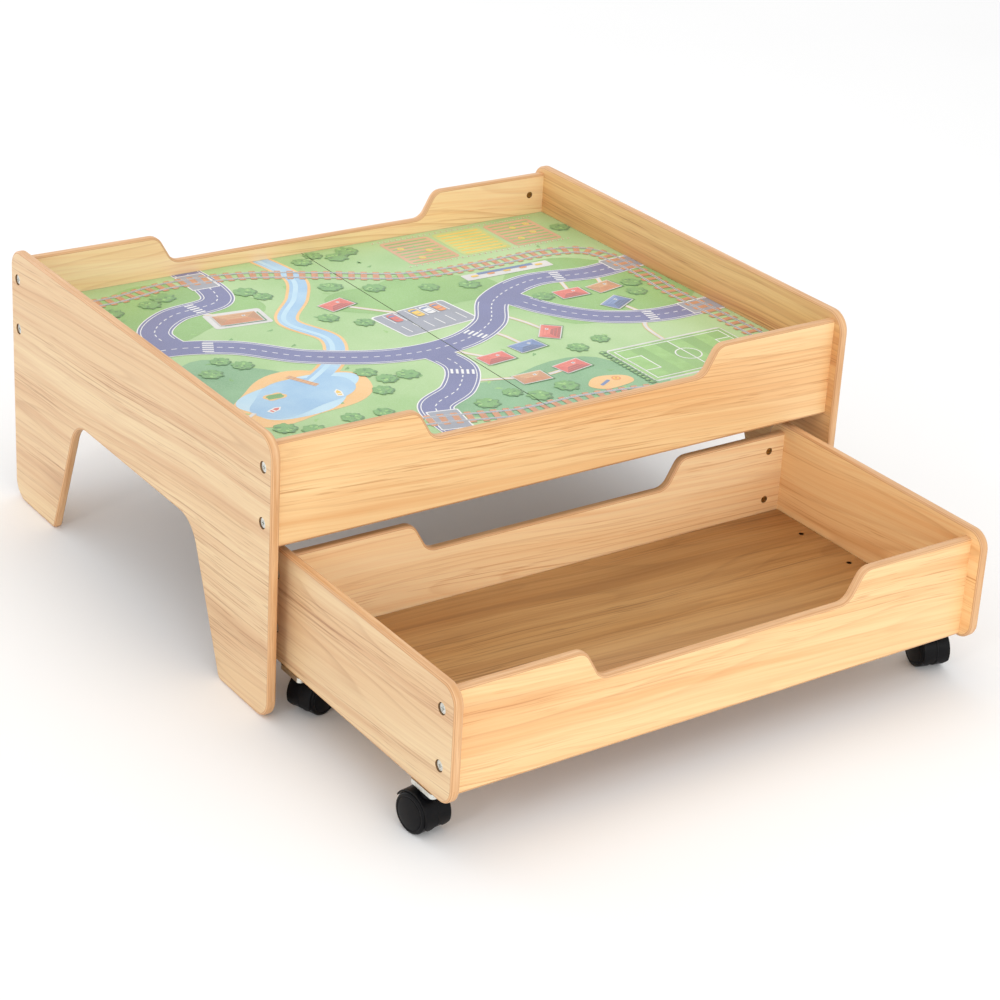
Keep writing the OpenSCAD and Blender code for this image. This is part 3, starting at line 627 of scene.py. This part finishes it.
HALF_X, HALF_Y, TOP = 427.5, 332.5, 300.5    # the boards' half sizes, and their height
SEAM = 0.65                                  # from the middle to a sheet's edge
FIRST_LAYER, LAYER = 0.05, 0.06              # height of the lowest ink, and from one level to the next
LEAST_AREA = 0.02
shapes = []                                  # (level, ink, points)


def lay(level, ink, points):
    shapes.append((level, ink, [(float(x), float(y)) for x, y in points]))


def clip(points, axis, limit, keep_below):
    out = []
    for i, p in enumerate(points):
        q = points[(i + 1) % len(points)]
        p_in, q_in = ((p[axis] <= limit) == keep_below), ((q[axis] <= limit) == keep_below)
        if p_in:
            out.append(p)
        if p_in != q_in:
            t = (limit - p[axis]) / (q[axis] - p[axis])
            out.append((p[0] + t * (q[0] - p[0]), p[1] + t * (q[1] - p[1])))
    return out


def curve(points, steps=14):
    """Smooth curve through points."""
    out = []
    last = len(points) - 1
    for i in range(last):
        p0, p1, p2, p3 = (points[max(0, min(last, i + k))] for k in (-1, 0, 1, 2))
        for s in range(steps):
            t = s / steps
            out.append(tuple(
                0.5 * (2 * p1[a] + (p2[a] - p0[a]) * t + (2 * p0[a] - 5 * p1[a] + 4 * p2[a] - p3[a]) * t * t
                       + (3 * p1[a] - p0[a] - 3 * p2[a] + p3[a]) * t ** 3) for a in (0, 1)))
    out.append(tuple(points[-1]))
    return out


def offset(path, dist):
    out = []
    for i, (x, y) in enumerate(path):
        a, b = path[max(0, i - 1)], path[min(len(path) - 1, i + 1)]
        length = math.hypot(b[0] - a[0], b[1] - a[1]) or 1
        out.append((x - (b[1] - a[1]) / length * dist, y + (b[0] - a[0]) / length * dist))
    return out


def ribbon(level, ink, path, width, shift=0.0):
    a, b = offset(path, shift + width / 2), offset(path, shift - width / 2)
    for i in range(len(path) - 1):
        lay(level, ink, [b[i], b[i + 1], a[i + 1], a[i]])


def along(path, pitch, start):
    """Points and directions at every pitch."""
    s, target = 0.0, start
    for a, b in zip(path, path[1:]):
        length = math.hypot(b[0] - a[0], b[1] - a[1])
        while length and target <= s + length:
            t = (target - s) / length
            yield a[0] + t * (b[0] - a[0]), a[1] + t * (b[1] - a[1]), math.atan2(b[1] - a[1], b[0] - a[0])
            target += pitch
        s += length


def rect(x, y, w, h, turn=0.0, r=0.0):
    c, s = math.cos(turn), math.sin(turn)
    if r:
        pts = []
        for sx, sy, a0 in ((1, 1, 0), (-1, 1, 90), (-1, -1, 180), (1, -1, 270)):
            pts += arc(sx * (w / 2 - r), sy * (h / 2 - r), r, a0, a0 + 90, 5)
    else:
        pts = [(w / 2, h / 2), (-w / 2, h / 2), (-w / 2, -h / 2), (w / 2, -h / 2)]
    return [(x + px * c - py * s, y + px * s + py * c) for px, py in pts]


def disc(x, y, r, n=28):
    return [(x + r * math.cos(2 * math.pi * i / n), y + r * math.sin(2 * math.pi * i / n)) for i in range(n)]


def blob(x, y, rx, ry, wob=0.12, lobes=5, n=48, turn=0.0):
    ph = rng.random() * 6.28
    pts = []
    for i in range(n):
        t = 2 * math.pi * i / n
        k = 1 + wob * math.sin(lobes * t + ph) + wob * 0.5 * math.sin((lobes + 2) * t + 2 * ph)
        px, py = rx * k * math.cos(t), ry * k * math.sin(t)
        pts.append((x + px * math.cos(turn) - py * math.sin(turn), y + px * math.sin(turn) + py * math.cos(turn)))
    return pts


def railway(path):
    """Sleepers with a shaded side, and two rails with white edges."""
    for x, y, a in along(path, 17.5, 4.0):
        lay(9, "sleeper", rect(x, y, 9.0, 33.0, a, 1.2))
        lay(10, "roof_tan", rect(x + 2.4 * math.cos(a), y + 2.4 * math.sin(a), 2.0, 31.0, a))
    for s in (-1, 1):
        ribbon(11, "white", path, 4.4, s * 9.5)
        ribbon(12, "rail", path, 3.0, s * 9.5)


def tree(x, y, r):
    sub = rng.randrange(4) / 4
    lay(12 + sub, "leaf_dark", blob(x + 1.6, y - 2.2, r, r * 0.94, 0.10, 7))
    lay(13 + sub, "leaf", blob(x, y, r * 0.95, r * 0.9, 0.10, 7))
    for k in range(6):
        a = rng.random() * 6.28
        q = r * (0.25 + 0.4 * rng.random())
        lay(14 + k / 7, "leaf_light" if k % 2 else "leaf_dark",
            blob(x + q * math.cos(a), y + q * math.sin(a), r * 0.20, r * 0.13, 0.15, 3, 14, a))


ROOF_SIDES = {"roof_red": ("tile_lit", "roof_dark"), "roof_blue": ("tile_blue", "slate"),
              "roof_tan": ("tile_tan", "sleeper")}


def house(x, y, w, h, turn, ink):
    """A hipped roof with rows of tiles and a chimney, on a pale plot."""
    c, s = math.cos(turn), math.sin(turn)

    def at(px, py):
        return (x + px * c - py * s, y + px * s + py * c)

    lit, shade = ROOF_SIDES[ink]
    k = h / 2
    lay(11.5, "leaf_dark", [at(-w / 2 + 3, -k - 3), at(w / 2 + 4, -k - 3), at(w / 2 + 4, k - 3), at(0, 0)])
    lay(12, "path", rect(x, y, w + 3, h + 3, turn))
    lay(14, lit, [at(-w / 2, k), at(-w / 2 + k, 0), at(w / 2 - k, 0), at(w / 2, k)])
    lay(14, shade, [at(-w / 2, -k), at(w / 2, -k), at(w / 2 - k, 0), at(-w / 2 + k, 0)])
    lay(14, ink, [at(w / 2, -k), at(w / 2, k), at(w / 2 - k, 0)])
    lay(14, ink, [at(-w / 2, k), at(-w / 2, -k), at(-w / 2 + k, 0)])
    for q in (1 / 3, 2 / 3):
        edge = (w / 2 - k * (1 - q)) - 1
        for row in (-k * q, k * q):
            lay(15, ink, [at(-edge, row + 0.5), at(-edge, row - 0.5), at(edge, row - 0.5), at(edge, row + 0.5)])
    lay(16, "white", rect(*at(w * 0.18, h * 0.2), 4.6, 4.6, turn))
    lay(17, "rail", rect(*at(w * 0.18, h * 0.2), 2.6, 2.6, turn))


def car(x, y, turn, ink):
    lay(12, ink, rect(x, y, 27, 13, turn, 4))
    lay(13, "roof_blue", rect(x + 2 * math.cos(turn), y + 2 * math.sin(turn), 16, 10.5, turn, 3))
    lay(14, ink, rect(x, y, 10, 10.5, turn, 2))


lay(0, "meadow", [(-HALF_X, -HALF_Y), (HALF_X, -HALF_Y), (HALF_X, HALF_Y), (-HALF_X, HALF_Y)])
# wooded and mown patches
lay(1.1, "lawn", blob(-300, 210, 150, 95, 0.10, 4))
lay(1.3, "deep", blob(40, -250, 170, 75, 0.12, 4))
lay(1.5, "lawn", blob(300, 30, 150, 120, 0.09, 5))
lay(1.7, "deep", blob(-350, -60, 110, 90, 0.12, 4))
lay(1.9, "lawn", blob(60, 120, 130, 70, 0.12, 4))
# lake with a beach and an island at the left, and a brook that runs from it to the back
for level, ink, rx, ry in ((2, "sand", 108, 66), (3, "shallow", 92, 52), (4, "water", 84, 45)):
    lay(level, ink, blob(-262, -118, rx, ry, 0.09, 3, 64, 0.3))
brook = curve([(-230, -90), (-168, -40), (-130, 30), (-150, 110), (-95, 180), (-60, 250), (-70, 340)], 18)
ribbon(2.5, "sand", brook, 34)
ribbon(3.5, "water", brook, 25)
ribbon(4.5, "shallow", brook, 7, 4)
lay(5, "sand", blob(-292, -106, 16, 10, 0.1, 4))
lay(6, "leaf", blob(-292, -106, 12.5, 7, 0.1, 4))
# tilled fields at the back right
for soil, row, x0, x1 in (("soil", "lawn", 120, 205), ("crop", "yellow", 212, 297), ("soil", "lawn", 304, 389)):
    lay(2, soil, rect((x0 + x1) / 2, 268, x1 - x0, 96, 0, 8))
    for j in range(8):
        lay(3, row, rect((x0 + x1) / 2, 228 + j * 11.2, x1 - x0 - 12, 4.2, 0, 2))
# playing field with mown stripes at the front right
px, py = 274, -232
lay(2, "path", rect(px, py, 196, 116, 0, 6))
for j in range(8):
    lay(3, "lawn" if j % 2 else "leaf_light", rect(px - 84 + 24 * j, py, 24, 108))
lay(4, "white", rect(px, py, 180, 98))
lay(5, "lawn", rect(px, py, 176, 94))
for j in range(8):
    lay(6, "lawn" if j % 2 else "leaf_light", rect(px - 77 + 22 * j, py, 22, 94))
lay(7, "white", rect(px, py, 2, 94))
lay(8, "white", disc(px, py, 19))
lay(9, "lawn", disc(px, py, 17))
lay(10, "white", rect(px, py, 2, 34))
for s in (-1, 1):
    lay(8, "white", rect(px + s * 76, py, 26, 46))
    lay(9, "leaf_light", rect(px + s * 76.5, py, 23, 42))
# roads: a winding main road, a lane to the front, a crescent and a road to the back
KERB_W, ROAD_W, EDGE_LINE, EDGE_LINE_W = 48, 44.5, 18.6, 1.3
MOUTH = 38                                   # the main road's edge lines break this far round a side road
main = curve([(-440, 70), (-350, 92), (-262, 60), (-190, -10), (-90, -58), (10, -60), (92, -20), (150, 52),
              (240, 92), (340, 80), (440, 96)], 18)
lane = curve([(-36, -62), (-28, -130), (-70, -190), (-128, -226), (-140, -290), (-134, -345)], 16)
crescent = curve([(168, 66), (196, -8), (250, -70), (330, -100), (440, -96)], 16)
north = curve([(-330, 88), (-330, 150), (-280, 196), (-206, 214), (-186, 262), (-190, 345)], 16)
streets = (lane, crescent, north, main)
joins = (lane[4], crescent[3], north[3])
for k, p in enumerate(streets):
    ribbon(6 + k / 4, "white", p, KERB_W)
    ribbon(7 + k / 4, "road", p, ROAD_W)
for p in streets:
    q = p if p is main else p[9:]
    for side in (-1, 1):
        a, b = (offset(q, side * EDGE_LINE + half) for half in (EDGE_LINE_W / 2, -EDGE_LINE_W / 2))
        for k in range(len(q) - 1):
            if p is not main or min(math.dist(q[k], join) for join in joins) > MOUTH:
                lay(8, "white", [b[k], b[k + 1], a[k + 1], a[k]])
    for x, y, a in along(q, 15.0, 6.0):
        lay(8, "white", rect(x, y, 7.5, 1.6, a))
# railway: one long bend across the back and down the right side, and a branch at the front
railway(curve([(-440, 286), (-330, 282), (-230, 300), (-120, 288), (-10, 236), (90, 186), (210, 176), (330, 178),
               (392, 150), (404, 60), (398, -40), (402, -140), (406, -345)], 18))
railway(curve([(-440, -262), (-330, -262), (-240, -250), (-150, -262), (-40, -290), (60, -292), (170, -312),
               (230, -345)], 16))
# level crossings and a station platform
for x, y, a in ((404, 92, math.pi / 2), (402, -98, math.pi / 2), (-190, 295, 0.0), (-134, -268, -0.2)):
    lay(8.4, "white", rect(x, y, 58, 44, a + math.pi / 2, 2))
    lay(8.7, "paving", rect(x, y, 54, 40, a + math.pi / 2, 2))
lay(7, "path", rect(232, 140, 150, 22, 0, 3))
for k in range(5):
    lay(12, "orange" if k % 2 else "yellow", rect(176 + 28 * k, 141, 12, 6, 0, 2))
lay(12, "roof_blue", rect(232, 147, 96, 7, 0, 1))
# car park with bays, a market square and houses
lay(4, "white", rect(24, 36, 128, 84, 0.12, 6))
lay(5, "paving", rect(24, 36, 123, 79, 0.12, 5))
for k in range(6):
    lay(6, "white", rect(-24 + 19 * k, 52 + 2.3 * k, 1.6, 30, 0.12))
    lay(6, "white", rect(-20 + 19 * k, 12 + 2.3 * k, 1.6, 24, 0.12))
for k, ink in ((0, "roof_red"), (2, "yellow"), (3, "white"), (4, "orange")):
    car(-14.5 + 19 * k, 53 + 2.3 * k, 1.69, ink)
lay(4, "path", rect(-206, 148, 84, 54, -0.1, 5))
house(-206, 148, 62, 34, -0.1, "roof_tan")
for x, y, t, ink in ((30, -128, 0.1, "roof_red"), (92, -112, 0.15, "roof_blue"), (150, -84, 0.9, "roof_red"),
                     (36, -204, 0.0, "roof_tan"), (106, -196, 0.2, "roof_red"), (-396, 8, 0.1, "roof_red"),
                     (-388, 150, 0.0, "roof_blue"), (320, 24, 0.2, "roof_tan"), (262, 24, 0.0, "roof_red"),
                     (300, -34, 0.5, "roof_blue"), (-60, 132, 0.3, "roof_red")):
    house(x, y, 44, 28, t, ink)
# ball court and flower beds
for level, ink, w, h, r in ((4, "white", 60, 84, 2), (5, "orange", 56, 80, 2), (6, "white", 40, 62, 0),
                            (7, "soil", 37, 59, 0), (8, "white", 40, 1.6, 0)):
    lay(level, ink, rect(-396, -186, w, h, 0, r))
for k in range(7):
    lay(5, "yellow" if k % 2 else "roof_red", blob(-386 + 15 * k, -306, 5, 4, 0.2, 5, 16))
# crossings for walkers, and paths from the doors to the roads
for p, k in ((main, 99), (main, 152), (main, 30), (lane, 20), (crescent, 45), (north, 40)):
    (x, y), (x1, y1) = p[k], p[k + 1]
    a = math.atan2(y1 - y, x1 - x)
    lay(8.3, "road", rect(x, y, 19, 35, a))
    for o in range(-14, 15, 7):
        lay(9, "white", rect(x - o * math.sin(a), y + o * math.cos(a), 15, 3.4, a))
for path in ([(30, -128), (8, -100), (-2, -84)], [(92, -112), (86, -70), (78, -50)],
             [(150, -84), (140, -40), (128, -10)], [(36, -204), (0, -190), (-44, -176)],
             [(106, -196), (70, -204), (36, -204)], [(-396, 8), (-380, 40), (-370, 66)],
             [(-388, 150), (-356, 140), (-348, 130)], [(320, 24), (330, 50), (334, 60)],
             [(262, 24), (270, 50), (276, 68)], [(300, -34), (306, -64), (308, -76)],
             [(-60, 132), (-20, 90), (0, 70)], [(-206, 148), (-236, 180), (-244, 190)],
             [(-396, -150), (-360, -150), (-340, -140)], [(274, -176), (280, -130), (300, -100)]):
    ribbon(5.3, "sand", curve(path, 10), 7)
    ribbon(5.6, "path", curve(path, 10), 5)
# pier and boats on the lake
px, py, lean = -236, -78, -1.1
lay(6, "tile_tan", rect(px, py, 46, 9, lean, 1))
for k in range(7):
    o = 6.4 * k - 19
    lay(7, "sleeper", rect(px + o * math.cos(lean), py + o * math.sin(lean), 1.2, 9, lean))
HULL = ((-11, -4.4), (4, -5), (12, 0), (4, 5), (-11, 4.4))
for x, y, a, ink in ((-312, -142, 0.4, "roof_red"), (-214, -132, 1.3, "yellow")):
    c, s = math.cos(a), math.sin(a)
    for level, shade, ku, kv in ((6.6, "white", 1, 1), (7.6, ink, 0.72, 0.62)):
        lay(level, shade, [(x + ku * u * c - kv * v * s, y + ku * u * s + kv * v * c) for u, v in HULL])
    lay(8.6, "white", rect(x - 3 * c, y - 3 * s, 2.4, 5.4, a))
# fence round the fields with bales inside, a hedge and a playground
for k in range(29):
    for y in (215, 321):
        lay(4.4, "white", rect(114 + 10 * k, y, 5.5, 1.5))
        lay(4.7, "sleeper", rect(114 + 10 * k, y, 1.8, 3.4))
for x, y in ((150, 240), (176, 262), (140, 284), (330, 246), (362, 262), (344, 290), (372, 296)):
    lay(5, "yellow", disc(x, y, 5.4, 20))
    lay(6, "crop", disc(x, y, 3.2, 16))
    lay(7, "yellow", disc(x, y, 1.6, 12))
for k in range(14):
    lay(12.3, "leaf_dark", blob(170, -288 + 8.4 * k, 5.6, 5, 0.15, 5, 20))
    lay(12.6, "leaf_light", blob(169, -286.6 + 8.4 * k, 2.4, 2, 0.2, 3, 12))
lay(4, "sand", blob(120, -262, 34, 20, 0.05, 3, 40))
lay(5, "roof_blue", rect(112, -262, 22, 5, 0.5, 2))
lay(5, "orange", disc(134, -256, 6.5, 24))
lay(6, "yellow", disc(134, -256, 4.2, 20))
lay(7, "roof_red", disc(134, -256, 1.8, 16))
# trees: copses, and single ones clear of the roads
for x, y in ((-400, 232), (-372, 216), (-396, 196), (-350, 240), (-290, 246), (-262, 262), (-150, 232), (-136, 206),
             (-20, 300), (8, 316), (36, 296), (62, 312), (-28, 196), (20, 166), (92, 134), (150, 118), (-300, 26),
             (-280, 2), (-330, -6), (-150, -90), (-136, -120), (-160, -150), (-104, -120), (-64, -246), (150, -146),
             (196, -134), (410, 262), (-16, -232), (10, -256), (-240, -206), (-300, -216), (-330, -196), (-196, -210),
             (366, 22), (352, -10), (218, 32), (-404, -110), (-376, -98), (-408, -30), (60, -246), (-60, 60),
             (-96, 96), (-34, 196)):
    tree(x, y, 12 + 5 * rng.random())
# tufts of grass
for k in range(70):
    x, y = rng.uniform(-420, 420), rng.uniform(-325, 325)
    lay(2.2, "leaf" if k % 2 else "leaf_light", blob(x, y, 5, 2.2, 0.3, 3, 12, rng.random() * 3))


def print_sheet(name, side):
    """One half of the print, its inks stacked in layers too thin to see."""
    x0, x1 = (-HALF_X, -SEAM) if side < 0 else (SEAM, HALF_X)
    verts, faces, mats = [], [], []
    for level, ink, pts in sorted(shapes, key=lambda s: s[0]):
        for axis, limit, below in ((0, x0, False), (0, x1, True), (1, -HALF_Y, False), (1, HALF_Y, True)):
            pts = clip(pts, axis, limit, below)
        if len(pts) < 3:
            continue
        area = sum(a[0] * b[1] - b[0] * a[1] for a, b in zip(pts, pts[1:] + pts[:1]))
        if abs(area) < LEAST_AREA:
            continue
        base = len(verts)
        z = TOP + FIRST_LAYER + LAYER * level
        verts += [(x, y + TABLE_Y, z) for x, y in (pts if area > 0 else pts[::-1])]
        faces.append([base + i for i in range(len(pts))])
        mats.append(INKS.index(ink))
    ob = mesh(name, verts, faces, list(INK.values()), mats, sharp=0)
    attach(ob, "table")


print_sheet("play_print_left", -1)
print_sheet("play_print_right", 1)

# ---------------------------------------------------------------- finishes of the other pieces
by_slot = {"solid_wood": PINE, "zinc_steel": ZINC, "brass_nuts": BRASS, "black_plastic": BLACK,
           "play_surface": FIBRE, "panel_laminate": WARM, "floor_board": FLOOR}
slots = {s["node"]: s["material_slot"] for s in frame["record"]["subparts"]}
for node, ob in frame["nodes"].items():
    ob.data.materials.clear()
    ob.data.materials.append(by_slot[slots[node]])

# ---------------------------------------------------------------- stage, light and camera, in metres
GROUND = 14
corners = [(-GROUND, -GROUND, 0), (GROUND, -GROUND, 0), (GROUND, GROUND, 0), (-GROUND, GROUND, 0)]
ground_mesh = bpy.data.meshes.new("ground")
ground_mesh.from_pydata(corners, [], [[0, 1, 2, 3]])
ground = bpy.data.objects.new("ground", ground_mesh)
bpy.context.scene.collection.objects.link(ground)
g = Net("ground_white")
soft = g.fade(g.noise(g.coords(), 0.7), 0.3, 0.7)
ground_mesh.materials.append(g.finish(g.mix(soft, (0.93, 0.93, 0.93), (0.96, 0.96, 0.96)), 0.9,
                                      Specular_IOR_Level=0.0))

bpy.context.scene.view_settings.view_transform = "Standard"
world = bpy.data.worlds.new("studio")
bpy.context.scene.world = world
world.use_nodes = True
world.node_tree.nodes["Background"].inputs["Color"].default_value = (1, 1, 1, 1)
world.node_tree.nodes["Background"].inputs["Strength"].default_value = 0.92


def lamp(name, place, target, size, power, color=(1, 1, 1)):
    data = bpy.data.lights.new(name, "AREA")
    data.shape = "DISK"
    data.size = size
    data.energy = power
    data.color = color
    ob = bpy.data.objects.new(name, data)
    ob.location = place
    ob.rotation_euler = (Vector(target) - Vector(place)).to_track_quat("-Z", "Y").to_euler()
    bpy.context.scene.collection.objects.link(ob)


lamp("key", (0.6, -6.8, 2.8), (0, 0, 0.2), 3.6, 64, (1.0, 0.99, 0.97))
lamp("fill", (-6.0, -2.4, 2.8), (0, 0, 0.2), 1.0, 42)
lamp("front", (-1.6, -5.8, 1.3), (0.2, -0.1, 0.1), 2.5, 43)
lamp("top", (0.4, 0.8, 3.2), (0, 0, 0.2), 2.0, 10)
lamp("behind", (-1.2, 4.6, 1.3), (0, 0.3, 0), 3.0, 44)

# Camera, solved from the straight edges of the table
CAMERA_AT = (-1.75034, -2.46199, 1.56897)
TILT, ROLL, HEADING = (math.radians(a) for a in (22.961, 3.590, -36.233))
PICTURE, FOCAL, MIDDLE_X, MIDDLE_Y = 1000, 2511.55, 530.14, 385.17   # in pixels
SENSOR = 36
back = Vector((math.sin(HEADING) * math.cos(TILT), -math.cos(HEADING) * math.cos(TILT), math.sin(TILT)))
right = Vector((math.cos(HEADING), math.sin(HEADING), 0))
up = back.cross(right)
rolled_right = math.cos(ROLL) * right + math.sin(ROLL) * up
rolled_up = -math.sin(ROLL) * right + math.cos(ROLL) * up
camera = bpy.data.objects.new("camera", bpy.data.cameras.new("camera"))
bpy.context.scene.collection.objects.link(camera)
camera.matrix_world = Matrix.Translation(CAMERA_AT) @ Matrix((rolled_right, rolled_up, back)).transposed().to_4x4()
camera.data.sensor_width = SENSOR
camera.data.lens = SENSOR * FOCAL / PICTURE
camera.data.shift_x = (PICTURE / 2 - MIDDLE_X) / PICTURE
camera.data.shift_y = (MIDDLE_Y - PICTURE / 2) / PICTURE
camera.data.clip_end = 60
bpy.context.scene.camera = camera
